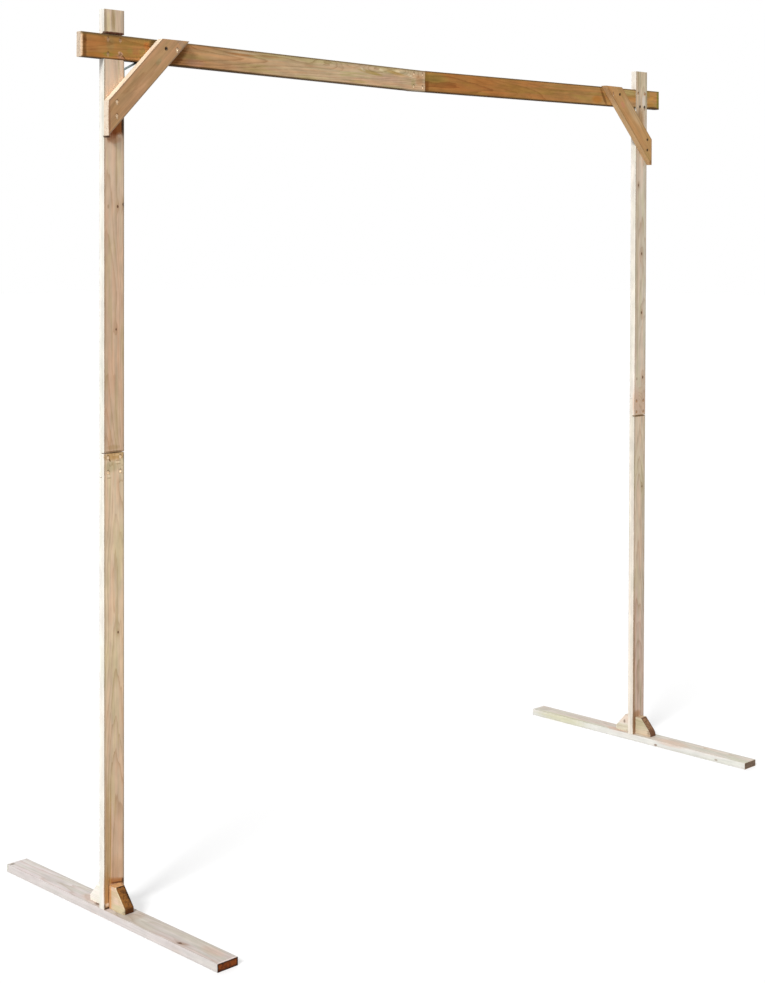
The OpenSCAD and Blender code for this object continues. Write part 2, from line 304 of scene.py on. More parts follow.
def pine(node, look):
    look = {**plainPine, **look}
    thick, wide, seed = look["thick"], look["wide"], look["seed"]
    turn = Euler([math.radians(a) for a in look["turn"]])
    turned = turn.to_matrix()
    alongAxis, acrossAxis = turned.col[0], turned.col[2]
    low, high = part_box(node)
    centre = (low + high) / 2 + acrossAxis * look["shift"]

    def inBoard(place):
        return turned.inverted() @ (Vector(place) - centre)

    wood = Shader(bpy.data.materials.new("pine_" + node))
    board = wood.node("Mapping", {"vector_type": "TEXTURE"}, {
        "Vector": wood.node("TexCoord", output="Object"), "Location": centre, "Rotation": turn,
    })
    along = wood.node("SeparateXYZ", None, {0: board}, "X")
    depth, across = along.out("Y"), along.out("Z")
    grain = wood.vector("ADD", board, (seed * 3.7, seed * 1.3, seed * 2.1))  # its own stretch of noise
    facing = wood.node("TexCoord", output="Normal")

    def vary(layer):
        return wood.noise(grain, *woodNoise[layer])

    def towards(axis, start, full, both=True):  # how far a face looks along an axis
        dot = wood.vector("DOT_PRODUCT", facing, axis, output="Value")
        return wood.step(abs(dot) if both else dot, start, full)

    endGrain = towards(alongAxis, 0.35, 0.6)
    narrowSide = towards(acrossAxis, 0.35, 0.85)

    # Rings: the distance from a heart that wanders, with waves, swells and ragged edges
    sideways = wood.drift(along * 2.3 + seed * 5.1 + 1.7) - 0.5
    inwards = wood.drift(along * 1.9 + seed * 5.1 + 7.3) - 0.5
    heartAcross = across - look["pith"][0] - sideways * (look["wander"] * 2)
    heartDepth = depth - look["pith"][1] - inwards * look["wander"]
    radius = (heartAcross * heartAcross + heartDepth * heartDepth) ** 0.5
    radius = radius + along * look["taper"]
    radius = radius + (vary("swell") - 0.5) * look["swell"]
    radius = radius + (vary("ripple") - 0.5) * look["ripple"]

    ragged = vary("ragged")
    knotsAway, knotHalos = [], []
    bends = [(place, size, size * knot["bend"], True) for place, size in look["knots"]]
    bends += [(*swirl, False) for swirl in look["swirls"]]
    for place, size, bend, isKnot in bends:
        at = inBoard(place)
        lift = along - at.x
        away = across - at.z - depth * knot["lean"]
        near = (lift * lift * knot["haloStretch"] + away * away) * (-1.0 / (size * knot["haloReach"]) ** 2)
        halo = wood.maths("EXPONENT", near)
        radius = radius - halo * bend
        if isKnot:
            oval = (lift * lift * knot["stretch"] + away * away) ** 0.5
            knotsAway.append(oval / size + (ragged - 0.5) * knot["ragged"])
            knotHalos.append(halo)

    ring = radius / look["ringWidth"]
    ring = ring + (vary("years") - 0.5) * 0.9
    ring = ring + (vary("fray") - 0.5) * 0.30
    year = wood.maths("FLOOR", ring)
    season = ring - year
    strength = wood.node("TexWhiteNoise", {"noise_dimensions": "1D"}, {"W": year + seed * 17.0})
    lateWood = season ** 4.0 * (1 - wood.step(season, 0.95, 1.0)) * (strength * 0.55 + 0.45)

    fibre, streaks, bands, patches = (vary(layer) for layer in ("fibre", "streaks", "bands", "patches"))
    hue = vary("hue") + (bands - 0.5) * 0.7
    lines = wood.step(vary("lines"), 0.58, 0.74)
    pores = wood.step(vary("pores"), 0.66, 0.78)

    early, warm = look["early"], look["warm"]
    if look["fade"]:
        start, end, *beyond = look["fade"]
        run = wood.step(along + (vary("fade") - 0.5) * 0.22, start, end)
        early, warm = (wood.blend(run, near, far) for near, far in zip((early, warm), beyond))
    colour = wood.blend(wood.step(vary("broad"), 0.42, 0.68) * 0.55, early, warm)
    colour = wood.blend(narrowSide, colour, look["edge"])
    tint = (1 - narrowSide * 0.7) * look["tint"]
    colour = wood.blend(wood.step(hue, 0.49, 0.66) * tint, colour, look["rosy"], "MULTIPLY")
    colour = wood.blend((1 - wood.step(hue, 0.34, 0.51)) * tint, colour, look["olive"], "MULTIPLY")
    # Painted shade: the side that faces down is darkened in its colour
    if look["under"]:
        colour = wood.blend(towards((0, 0, -1), 0.3, 0.8, both=False) * 0.9, colour, look["under"])

    # Cut ends are darker, with checks that run to the heart and a rim of their own
    angle = wood.maths("ARCTAN2", heartAcross, heartDepth)
    check = 1 - wood.step(abs(wood.drift(angle * 26.0 + seed * 9.0, 2.0) - 0.5), 0.004, 0.016)
    check = check * wood.step(vary("checks"), 0.52, 0.62)
    rim = wood.extreme("MAXIMUM", [
        wood.step(abs(way), reach / 2 - look["rimWide"], reach / 2 - look["rimFull"])
        for way, reach in ((depth, thick), (across, wide))
    ])
    cut = wood.blend(lateWood * 0.8, look["endEarly"], look["endLate"])
    cut = wood.blend(wood.step(vary("spots"), 0.42, 0.66) * 0.6, cut, look["endLate"])
    cut = wood.blend(wood.step(vary("blotch"), 0.40, 0.72) * 0.4, cut, look["endLate"])
    cut = wood.blend(check * 0.8, cut, look["checks"])
    rimTone = look["rim"]
    # Painted shade on the far rim, where a board has one
    if look["farRimShade"]:
        nearRim = wood.step(depth, thick / 2 - look["nearRimWide"], thick / 2 - look["nearRimFull"])
        rimTone = wood.blend(nearRim, look["farRimShade"], rimTone)
    cut = wood.blend(rim * (ragged + 0.3) * look["rimShow"], cut, rimTone)
    colour = wood.blend(endGrain, colour, cut)

    # Stains, and painted shadows, shade and highlights, have ragged borders that follow the grain, and the
    # rings run through them
    uneven = (streaks - 0.5) * 1.4 + (ragged - 0.5) * 0.9
    for place, reach, tone, amount, *slant in look["stainsAndPaintedLight"]:
        apart = wood.node("Mapping", {"vector_type": "TEXTURE"}, {
            "Vector": board, "Location": inBoard(place), "Scale": reach,
            "Rotation": (0, math.radians(slant[0]) if slant else 0, 0),
        })
        outside = wood.vector("DOT_PRODUCT", apart, apart, output="Value") + uneven
        colour = wood.blend((1 - wood.step(outside, 0.1, 1.8)) * (fibre * 0.5 + 0.75) * amount, colour, tone)
    ringShow = lateWood * (1 - endGrain) * (1 - narrowSide * 0.45) * look["ringShow"]
    colour = wood.blend(ringShow, colour, look["rings"], "MULTIPLY")

    if knotsAway:
        knotAway = wood.extreme("MINIMUM", knotsAway)
        knotHalo = wood.extreme("MAXIMUM", knotHalos)
        colour = wood.blend(knotHalo * 0.6 * (1 - endGrain), colour, look["rings"], "MULTIPLY")
        heart = wood.blend(wood.maths("FRACT", knotAway * 3.0), knot["heart"], knot["years"])
        heart = wood.blend(wood.step(knotAway, 0.62, 0.9), heart, knot["bark"])
        colour = wood.blend((1 - wood.step(knotAway, 0.85, 1.12)) * 0.94, colour, heart)

    # Painted shade along the borders of the wide faces, where rounded edges turn from the light and the
    # beam's underside lies in shade
    nearBorder = wood.step(abs(across), wide / 2 - look["borderShadeWide"], wide / 2 - look["borderShadeFull"])
    nearBorder = nearBorder * (1 - endGrain) * (1 - narrowSide)
    colour = wood.blend(nearBorder * (streaks * 0.9 + 0.55) * look["borderShadeShow"], colour, look["borderShade"])

    # Round the screws: crushed wood with painted shade in a ring, painted shade above and a painted highlight
    # below as a countersink would be lit, and painted shade over the deep holes
    for deep, lift, reach, tone, amount in look["screwMarksAndPaintedLight"]:
        marks = [Vector(place) + Vector((0, 0, lift)) for place, isDeep in look["screws"] if isDeep == deep]
        if marks:
            away = [wood.vector("DISTANCE", board, inBoard(mark), output="Value") for mark in marks]
            nearest = wood.extreme("MINIMUM", away) + (ragged - 0.5) * look["markRagged"]
            colour = wood.blend((1 - wood.step(nearest, *reach)) * amount, colour, tone or look["highlightBelowScrew"])

    # Painted shade along the arrises, where a rounded edge would turn from the light
    corner = nearBorder * wood.step(abs(depth), thick / 2 - look["cornerWide"], thick / 2)
    mottle = ((patches - 0.5) + (bands - 0.5)) * (look["patchy"] * (1 - endGrain))
    grit = (1 - fibre) * 0.14 + (1 - streaks) * 0.12 + pores * 0.14 + lines * 0.15 * (1 - endGrain)
    shade = 1.16 + mottle - grit - corner * wood.step(streaks, 0.35, 0.65) * 0.12
    colour = wood.node("VectorMath", {"operation": "SCALE"}, {0: colour, "Scale": shade})

    planer = wood.node("TexWave", {"wave_type": "BANDS", "bands_direction": "X"}, {
        "Vector": board, "Scale": 55.0, "Distortion": 1.5, "Detail": 1.0,
    })
    face = lateWood * 0.45 + fibre * 0.55 + planer * 0.05 - pores * 0.35 - lines * 0.25
    height = face * (1 - endGrain) + (vary("sawn") * 1.2 + lateWood * 0.4 - check * 2.0) * endGrain
    bump = wood.node("Bump", None, {"Height": height, "Strength": 0.7, "Distance": 0.00012})
    return wood.surface({
        "Base Color": colour, "Normal": bump, "Specular IOR Level": look["gloss"],
        "Roughness": 0.56 + fibre * 0.14 + endGrain * 0.12 - lateWood * 0.08,
    })


# How a board is turned, in degrees
upright = (0, -90, 0)
lyingFlat = (90, 0, 90)
frontToBack = (0, 0, 90)
beamSlope = math.degrees(math.atan2(arch["sag"], arch["postX"]))
through = 10.0  # reach of a stain that goes on and on
gussetLow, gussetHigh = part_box("left_gusset_front")

# What like boards share
foot = {"turn": lyingFlat, "patchy": 0.3, "borderShadeShow": 0.35, "borderShade": (0.47, 0.43, 0.39)}
beam = {
    # painted shade on the beam's underside and along its borders
    "rings": (0.50, 0.36, 0.24), "under": (0.030, 0.011, 0.004), "borderShade": (0.15, 0.09, 0.035), "gloss": 0.05,
    "rosy": (1.08, 0.93, 0.86), "olive": (0.92, 1.04, 0.80), "patchy": 0.6,
}
brace = {"shift": arch["boardWide"] / 2, "ringWidth": 0.0024, "ringShow": 0.45, "patchy": 0.5}
gusset = {
    "turn": frontToBack, "thick": gussetHigh.x - gussetLow.x, "wide": gussetHigh.z - gussetLow.z,
    "ringWidth": 0.0022, "borderShadeShow": 0.1,
}

boards = {
    "left_foot": {
        **foot, "seed": 1.3, "pith": (-0.004, -0.09), "ringWidth": 0.0034,
        "early": (0.545, 0.495, 0.455), "warm": (0.57, 0.49, 0.44), "edge": (0.62, 0.58, 0.56),
        "endEarly": (0.31, 0.070, 0.008), "endLate": (0.042, 0.010, 0.002), "rim": (0.020, 0.006, 0.002),
        "rimShow": 1.2, "rimWide": 0.0070,
        "fade": (-0.15, 0.30, (0.650, 0.600, 0.580), (0.645, 0.585, 0.565)), "ringShow": 0.7,
        "rosy": (1.03, 0.96, 0.98), "olive": (0.96, 1.00, 0.92),
        "knots": ((onFoot(-1.0755, -0.280), 0.0034), (onFoot(-1.0745, 0.0460), 0.0030)),
        "stainsAndPaintedLight": (
            (onFoot(-1.0745, 0.0460), (0.0060, 0.004, 0.0026), (0.05, 0.04, 0.035), 0.8, 18),
            (onFoot(-1.0755, -0.280), (0.0075, 0.004, 0.0026), (0.07, 0.05, 0.04), 0.8, 18),
            (onFoot(-1.0700, -0.290), (0.0140, 0.004, 0.0060), (0.36, 0.24, 0.16), 0.45, 18),
            (onFoot(-1.048, -0.368), (0.036, 0.01, 0.016), (0.60, 0.42, 0.30), 0.4),
            # painted highlight along the top edge of the foot's front end
            ((-1.055, -0.4280, 0.0213), (0.0032, 0.0022, 0.05), (0.90, 0.77, 0.72), 0.75),
            (onFoot(-1.060, 0.085), (0.035, 0.01, 0.018), (0.62, 0.42, 0.32), 0.45),
            (onFoot(-1.076, 0.4205), (0.0045, 0.004, 0.0080), (0.22, 0.18, 0.14), 0.85),
            ((-1.083, 0.428, 0.012), (0.004, 0.012, 0.004), (0.50, 0.50, 0.40), 0.7),
            (onFoot(-1.055, -0.080), (0.020, 0.01, 0.030), (0.44, 0.33, 0.24), 0.5),
            (onFoot(-1.060, 0.250), (0.060, 0.01, 0.012), (0.46, 0.40, 0.38), 0.35),
        ),
    },
    "right_foot": {
        **foot, "seed": 2.9, "pith": (0.012, -0.06), "ringShow": 0.75,
        "early": (0.575, 0.55, 0.49), "warm": (0.59, 0.52, 0.445), "edge": (0.70, 0.69, 0.65),
        "endEarly": (0.24, 0.165, 0.11), "endLate": (0.08, 0.05, 0.035),
        "stainsAndPaintedLight": (
            ((1.025, -0.0904, 0.005), (0.0060, 0.0035, 0.0030), (0.24, 0.15, 0.10), 0.85),
            ((1.025, -0.324, 0.007), (0.0060, 0.0030, 0.0028), (0.34, 0.27, 0.21), 0.75),
            (onFoot(1.040, -0.150), (0.060, 0.01, 0.022), (0.62, 0.44, 0.33), 0.6),
            ((1.030, 0.300, 0.012), (0.110, 0.02, 0.010), (0.56, 0.54, 0.30), 0.6),
            (onFoot(1.055, 0.200), (0.110, 0.01, 0.020), (0.52, 0.42, 0.37), 0.45),
            (onFoot(1.040, 0.075), (0.040, 0.01, 0.014), (0.58, 0.36, 0.26), 0.6),
            (onFoot(1.062, 0.400), (0.020, 0.01, 0.022), (0.44, 0.38, 0.32), 0.5),
        ),
    },
    "left_post_lower": {
        "turn": upright, "seed": 3.1, "pith": (-0.010, 0.070), "screws": screws["left_lap"],
        "early": (0.695, 0.495, 0.335), "warm": (0.68, 0.45, 0.30), "edge": (0.815, 0.79, 0.725),
        "fade": (-0.40, 0.15, (0.80, 0.625, 0.425), (0.78, 0.56, 0.39)),
        "knots": (((-1.046, 0.0, 0.690), 0.0022),),
        "swirls": (((-1.032, 0.0, 1.112), 0.0060, 0.014), ((-1.074, 0.0, 1.118), 0.0045, 0.008)),
        "stainsAndPaintedLight": (
            (onPost(-1.056, 1.1205), (0.0100, 0.004, 0.034), (0.58, 0.34, 0.12), 0.85),
            (onPost(-1.062, 1.096), (0.0130, 0.004, 0.022), (0.50, 0.42, 0.22), 0.60),
            # painted shade in the lap's seam
            (onPost(-1.055, 1.1300), (0.0026, 0.003, 0.030), (0.20, 0.10, 0.03), 0.80),
            (onPost(-1.0690, 1.1120), (0.0055, 0.003, 0.0022), (0.20, 0.09, 0.02), 0.80, -45),
            (onPost(-1.0430, 1.1095), (0.0012, 0.003, 0.0080), (0.30, 0.15, 0.05), 0.6),
            (onPost(-1.0440, 1.1050), (0.0013, 0.003, 0.0085), (0.90, 0.72, 0.46), 0.60),
            (onPost(-1.0430, 1.1010), (0.0012, 0.003, 0.0075), (0.34, 0.19, 0.08), 0.55),
            (onPost(-1.0480, 1.1230), (0.0014, 0.003, 0.0120), (0.86, 0.66, 0.38), 0.55),
            (onPost(-1.0250, 1.1150), (0.0100, 0.003, 0.0045), (0.14, 0.10, 0.07), 0.70),
            (onPost(-1.0700, 1.0685), (0.0014, 0.003, 0.0055), (0.30, 0.19, 0.10), 0.5),
            (onPost(-1.0700, 1.0735), (0.0018, 0.003, 0.0065), (0.88, 0.74, 0.56), 0.5),
            # an orange stain above the gusset, with painted shade where the gusset meets the post
            (onPost(-1.0500, 0.0830), (0.0078, 0.004, 0.034), (0.47, 0.185, 0.050), 1.0, 14),
            (onPost(-1.0285, 0.0790), (0.0070, 0.004, 0.0040), (0.08, 0.03, 0.01), 0.9),
            # painted shadow line along the top of the gusset
            (onPost(-1.0460, 0.0785), (0.0200, 0.004, 0.0018), (0.12, 0.045, 0.012), 0.9, 98),
            # painted shade on the post beside the gusset
            (onPost(-1.0765, 0.0640), (0.0500, 0.004, 0.0095), (0.50, 0.23, 0.065), 0.90),
            (onPost(-1.0500, 0.1150), (0.0300, 0.004, 0.0180), (0.64, 0.39, 0.22), 0.55),
            (onPost(-1.0755, 0.170), (0.140, 0.004, 0.0070), (0.54, 0.33, 0.14), 0.65),
            (onPost(-1.0660, 0.190), (0.120, 0.004, 0.0022), (0.56, 0.33, 0.10), 0.70),
            (onPost(-1.0270, 0.190), (0.120, 0.004, 0.0030), (0.44, 0.34, 0.25), 0.60),
            # painted shadow line along the gusset's edge
            (onPost(-1.0712, 0.0560), (0.0300, 0.004, 0.0014), (0.10, 0.045, 0.015), 0.75),
            (onPost(-1.0755, 0.0310), (0.0040, 0.003, 0.0055), (0.85, 0.70, 0.54), 0.95),
            # painted contact shadow at the foot of the post, in these three
            (onPost(-1.0745, 0.0225), (0.0026, 0.003, 0.0110), (0.05, 0.025, 0.012), 0.95),
            (onPost(-1.0830, 0.0280), (0.0065, 0.003, 0.0020), (0.07, 0.035, 0.015), 0.85),
            (onPost(-1.0670, 0.0290), (0.0060, 0.003, 0.0022), (0.10, 0.05, 0.02), 0.85),
        ),
    },
    "left_post_upper": {
        "turn": upright, "seed": 4.7, "pith": (0.014, 0.060), "ringShow": 0.58,
        "early": (0.675, 0.478, 0.322), "warm": (0.65, 0.425, 0.275), "edge": (0.815, 0.79, 0.725),
        "fade": (-0.25, 0.45, (0.75, 0.58, 0.425), (0.73, 0.515, 0.37)),
        "knots": (
            ((-1.0474, 0.0, 1.7256), 0.0026), ((-1.0300, 0.0, 1.7307), 0.0034),
            ((-1.0519, 0.0, 1.4276), 0.0020),
        ),
        "stainsAndPaintedLight": (
            (onPost(-1.0724, 1.7252), (0.005, 0.004, 0.003), (0.40, 0.26, 0.15), 0.60),
            (onPost(-1.0580, 2.175), (0.030, 0.004, 0.006), (0.40, 0.27, 0.11), 0.65),
            (onPost(-1.0720, 2.165), (0.030, 0.004, 0.005), (0.84, 0.68, 0.36), 0.60),
            (onPost(-1.0800, 2.170), (0.040, 0.004, 0.004), (0.34, 0.25, 0.12), 0.55),
            (onPost(-1.0300, 2.170), (0.040, 0.004, 0.005), (0.40, 0.32, 0.24), 0.55),
            # painted shade in the seam over the beam's top
            (onPost(-1.0550, 2.1432), (0.0034, 0.006, 0.050), (0.085, 0.020, 0.005), 1.0),
            # painted shadow of the brace on the post, down to its darkest border
            (onPost(-1.0500, 1.9100), (0.030, 0.004, 0.013), (0.24, 0.058, 0.006), 1.0, 45),
            (onPost(-1.0380, 1.9180), (0.018, 0.004, 0.012), (0.30, 0.10, 0.02), 0.95),
            (onPost(-1.0290, 1.9240), (0.026, 0.004, 0.0048), (0.035, 0.014, 0.006), 1.0),
            (onPost(-1.0560, 1.8880), (0.010, 0.004, 0.020), (0.52, 0.25, 0.12), 0.65),
            (onPost(-1.0800, 1.8935), (0.0030, 0.004, 0.014), (0.06, 0.016, 0.006), 0.9),
            # painted shade in the lap's seam
            (onPost(-1.0550, 1.1320), (0.0022, 0.003, 0.030), (0.20, 0.10, 0.03), 0.75),
            (onPost(-1.0680, 1.160), (0.025, 0.004, 0.005), (0.66, 0.40, 0.22), 0.60),
            (onPost(-1.0580, 1.142), (0.006, 0.004, 0.018), (0.48, 0.31, 0.14), 0.55),
            (onPost(-1.0400, 1.500), (0.060, 0.004, 0.008), (0.72, 0.50, 0.36), 0.40),
        ),
    },
    "right_post_lower": {
        "turn": upright, "seed": 5.9, "pith": (0.004, 0.090),
        "early": (0.64, 0.485, 0.385), "warm": (0.62, 0.45, 0.35), "edge": (0.74, 0.685, 0.60),
        "fade": (-0.30, 0.20, (0.69, 0.565, 0.42), (0.66, 0.52, 0.38)),
        "knots": (((1.066, 0.0, 0.835), 0.0024),),
        "stainsAndPaintedLight": (
            (onPost(1.0330, 0.060), (0.045, 0.006, 0.008), (0.20, 0.08, 0.03), 0.9),
            (onPost(1.0500, 0.085), (0.012, 0.006, 0.018), (0.42, 0.22, 0.10), 0.75),
            (onPost(1.0310, 0.220), (0.280, 0.006, 0.0055), (0.34, 0.20, 0.10), 0.7),
            # painted shade in the lap's seam
            (onPost(1.0550, 1.0688), (0.0020, 0.006, 0.050), (0.19, 0.095, 0.018), 0.8),
            (onPost(1.0760, 0.500), (0.450, 0.006, 0.005), (0.50, 0.44, 0.36), 0.5),
        ),
    },
    "right_post_upper": {
        "turn": upright, "seed": 6.4, "pith": (-0.008, 0.065),
        "screws": screws["right_lap"] + screws["right_crossing"],
        "early": (0.715, 0.61, 0.48), "warm": (0.69, 0.56, 0.43), "edge": (0.78, 0.735, 0.66),
        "fade": (0.36, 0.46, (0.66, 0.545, 0.385), (0.64, 0.50, 0.34)),
        "knots": (
            ((1.038, 0.0, 1.828), 0.0028), ((1.058, 0.0, 1.603), 0.0034), ((1.0585, 0.0, 1.409), 0.0034),
            ((1.067, 0.0, 1.196), 0.0034),
        ),
        "swirls": (((1.044, 0.0, 1.110), 0.0070, 0.012), ((1.066, 0.0, 1.088), 0.0060, 0.010)),
        "stainsAndPaintedLight": (
            (onPost(1.037, 1.192), (0.005, 0.006, 0.004), (0.36, 0.22, 0.14), 0.7),
            (onPost(1.055, 1.110), (0.050, 0.010, 0.05), (0.62, 0.40, 0.27), 0.65),
            # painted shade in the lap's seam
            (onPost(1.055, 1.0725), (0.0018, 0.005, 0.05), (0.38, 0.21, 0.07), 0.7),
            (onPost(1.066, 2.104), (0.018, 0.006, 0.007), (0.84, 0.76, 0.70), 0.6),
            (onPost(1.045, 2.110), (0.040, 0.006, 0.012), (0.60, 0.46, 0.34), 0.5),
            (onPost(1.0755, 2.127), (0.005, 0.006, 0.004), (0.50, 0.18, 0.09), 0.8),
            (onPost(1.0740, 2.080), (0.0075, 0.006, 0.003), (0.26, 0.09, 0.04), 0.8, 40),
            (onPost(1.036, 1.640), (0.400, 0.006, 0.006), (0.58, 0.44, 0.32), 0.55),
            (onPost(1.076, 1.700), (0.500, 0.006, 0.006), (0.62, 0.58, 0.47), 0.55),
            # painted shadow of the brace on the post
            (onPost(1.0470, 2.036), (0.044, 0.006, 0.0215), (0.43, 0.265, 0.130), 1.0),
            (onPost(1.050, 2.178), (0.040, 0.006, 0.004), (0.40, 0.34, 0.22), 0.6),
            (onPost(1.036, 2.175), (0.040, 0.006, 0.004), (0.38, 0.26, 0.14), 0.55),
            ((1.025, 0.021, 1.135), (0.010, 0.005, 0.006), (0.45, 0.40, 0.36), 0.5),
        ),
    },
    "beam_left": {
        **beam, "turn": (0, beamSlope, 0), "seed": 7.7,
        "pith": (0.010, 0.035), "ringWidth": 0.0040, "taper": 0.035,
        # its painted highlight below the screws is darker
        "screws": screws["left_crossing"] + screws["beam_lap"], "highlightBelowScrew": (0.66, 0.38, 0.21),
        "early": (0.487, 0.240, 0.076), "warm": (0.467, 0.202, 0.058), "edge": (0.40, 0.24, 0.11),
        "endEarly": (0.66, 0.54, 0.42), "endLate": (0.46, 0.34, 0.24), "borderShadeShow": 0.5,
        "fade": (-0.52, 0.30, (0.655, 0.485, 0.30), (0.61, 0.412, 0.256)),
        "swirls": (
            (onBeam(-0.345, 0.030), 0.009, 0.012), (onBeam(-0.165, 0.030), 0.010, 0.020),
            (onBeam(-0.065, 0.026), 0.008, 0.018),
        ),
        "stainsAndPaintedLight": (
            (onBeam(-1.1405, 0.000), (0.0055, 0.006, 0.050), (0.15, 0.06, 0.016), 0.8),
            (onBeam(-1.1492, 0.000), (0.0030, 0.0035, 0.050), (0.95, 0.66, 0.42), 0.9),
            (onBeam(-1.120, -0.002), (0.018, 0.006, 0.016), (0.46, 0.18, 0.055), 0.6),
            (onBeam(-1.108, -0.022), (0.024, 0.006, 0.006), (0.52, 0.20, 0.035), 0.6),
            (onBeam(-1.040, 0.0265), (0.200, 0.006, 0.0045), (0.20, 0.125, 0.035), 0.65),
            (onBeam(-1.105, 0.014), (0.018, 0.006, 0.005), (0.54, 0.22, 0.06), 0.6),
            (onBeam(-1.072, -0.019), (0.014, 0.006, 0.006), (0.33, 0.25, 0.045), 0.7),
            (onBeam(-1.066, 0.006), (0.012, 0.006, 0.016), (0.34, 0.23, 0.085), 0.6),
            (onBeam(-1.026, 0.010), (0.030, 0.006, 0.010), (0.36, 0.21, 0.055), 0.6),
            (onBeam(-0.992, -0.005), (0.011, 0.006, 0.008), (0.44, 0.18, 0.07), 0.45),
            (onBeam(-1.008, -0.006), (0.008, 0.006, 0.007), (0.38, 0.27, 0.07), 0.6),
            (onBeam(-0.970, -0.006), (0.008, 0.006, 0.012), (0.34, 0.24, 0.07), 0.6),
            (onBeam(-0.9585, 0.013), (0.009, 0.006, 0.007), (0.56, 0.19, 0.045), 0.75),
            (onBeam(-1.035, -0.024), (0.014, 0.006, 0.004), (0.52, 0.25, 0.16), 0.7, 20),
            (onBeam(-1.0362, 0.0165), (0.002, 0.004, 0.002), (0.05, 0.02, 0.008), 0.9),
            (onBeam(-1.0365, -0.0145), (0.0070, 0.004, 0.0042), (0.80, 0.49, 0.33), 0.85, 20),
            (onBeam(-1.0275, -0.0215), (0.0085, 0.004, 0.0016), (0.13, 0.05, 0.015), 0.8, 40),
            # painted shade in the seam under the post's stub
            (onBeam(-1.055, 0.0295), (0.036, 0.008, 0.0030), (0.20, 0.040, 0.008), 0.95),
            # painted shadows of the brace on the beam
            (onBeam(-0.936, 0.024), (0.020, 0.006, 0.008), (0.10, 0.06, 0.02), 0.8, -45),
            (onBeam(-0.966, -0.022), (0.034, 0.006, 0.005), (0.15, 0.07, 0.015), 0.75, -45),
            (onBeam(-0.861, -0.006), (0.040, 0.006, 0.014), (0.15, 0.055, 0.012), 0.9, -45),
            (onBeam(-0.56, 0.0300), (through, 0.006, 0.0034), (0.24, 0.18, 0.10), 0.7),
            # painted shade along the bottom border, in place of the shaded underside
            (onBeam(-0.80, -0.0300), (0.300, 0.006, 0.0046), (0.05, 0.02, 0.007), 0.9),
            (onBeam(-0.30, -0.0300), (0.400, 0.006, 0.0032), (0.10, 0.055, 0.022), 0.85),
            (onBeam(-0.807, -0.018), (0.030, 0.006, 0.009), (0.60, 0.32, 0.21), 0.5),
            (onBeam(-0.655, 0.0165), (0.045, 0.006, 0.0030), (0.52, 0.24, 0.08), 0.75),
            (onBeam(-0.640, 0.0225), (0.050, 0.006, 0.0025), (0.80, 0.62, 0.40), 0.75),
            (onBeam(-0.560, 0.0190), (0.040, 0.006, 0.0030), (0.54, 0.27, 0.11), 0.55),
            (onBeam(-0.1955, 0.0095), (0.040, 0.006, 0.0050), (0.52, 0.36, 0.13), 0.75, 6),
            (onBeam(-0.1640, 0.0050), (0.026, 0.006, 0.0035), (0.52, 0.38, 0.12), 0.65, 8),
            (onBeam(-0.0900, 0.0140), (0.034, 0.006, 0.0040), (0.54, 0.34, 0.11), 0.8, 6),
            (onBeam(-0.2377, -0.0204), (0.034, 0.006, 0.0035), (0.55, 0.40, 0.14), 0.6),
            (onBeam(-0.1050, -0.0242), (0.040, 0.006, 0.0030), (0.48, 0.40, 0.20), 0.55),
            (onBeam(-0.2187, 0.0141), (0.010, 0.006, 0.0030), (0.88, 0.74, 0.50), 0.55, 24),
            (onBeam(-0.1488, 0.0184), (0.014, 0.006, 0.0035), (0.84, 0.70, 0.44), 0.55, 20),
            (onBeam(-0.0835, 0.0201), (0.010, 0.006, 0.0030), (0.92, 0.72, 0.44), 0.65),
            (onBeam(-0.0574, 0.0174), (0.018, 0.006, 0.0040), (0.42, 0.38, 0.22), 0.6),
            (onBeam(-0.0330, 0.0120), (0.012, 0.006, 0.0032), (0.86, 0.72, 0.48), 0.60, 20),
            (onBeam(-0.1172, -0.0041), (0.060, 0.006, 0.0080), (0.62, 0.38, 0.27), 0.5),
            (onBeam(0.0057, -0.0005), (0.014, 0.006, 0.0130), (0.60, 0.34, 0.17), 0.75),
            (onBeam(0.0036, 0.0100), (0.014, 0.006, 0.0035), (0.62, 0.36, 0.19), 0.6),
            (onBeam(-0.0205, -0.0110), (0.008, 0.006, 0.0120), (0.46, 0.38, 0.17), 0.6),
            (onBeam(-0.010, -0.0290), (0.050, 0.006, 0.0018), (0.80, 0.68, 0.50), 0.6),
        ),
    },
    "beam_right": {
        **beam, "turn": (0, -beamSlope, 0), "seed": 8.2, "pith": (-0.012, 0.045), "ringWidth": 0.0034,
        "early": (0.438, 0.197, 0.055), "warm": (0.448, 0.180, 0.052), "edge": (0.36, 0.20, 0.08),
        "endEarly": (0.30, 0.22, 0.08), "endLate": (0.16, 0.10, 0.04),
        "fade": (-0.35, 0.45, (0.515, 0.290, 0.103), (0.535, 0.264, 0.094)),
        "stainsAndPaintedLight": (
            # painted shade beside the splice's seam
            (onBeam(0.034, -0.004), (0.010, 0.006, 0.030), (0.22, 0.07, 0.012), 0.75),
            (onBeam(0.062, 0.012), (0.060, 0.006, 0.014), (0.38, 0.25, 0.058), 0.65),
            (onBeam(0.56, 0.0300), (through, 0.006, 0.0034), (0.18, 0.12, 0.050), 0.75),
            # painted shade along the bottom border, in place of the shaded underside
            (onBeam(0.56, -0.0300), (through, 0.006, 0.0030), (0.075, 0.030, 0.009), 0.85),
            (onBeam(0.855, -0.004), (0.032, 0.006, 0.0060), (0.17, 0.065, 0.015), 0.7, 58),
            (onBeam(0.820, -0.012), (0.025, 0.006, 0.012), (0.50, 0.17, 0.020), 0.6),
            (onBeam(1.0160, -0.0285), (0.0038, 0.006, 0.0040), (0.035, 0.015, 0.008), 1.0),
            (onBeam(0.995, -0.020), (0.030, 0.006, 0.012), (0.46, 0.29, 0.15), 0.7),
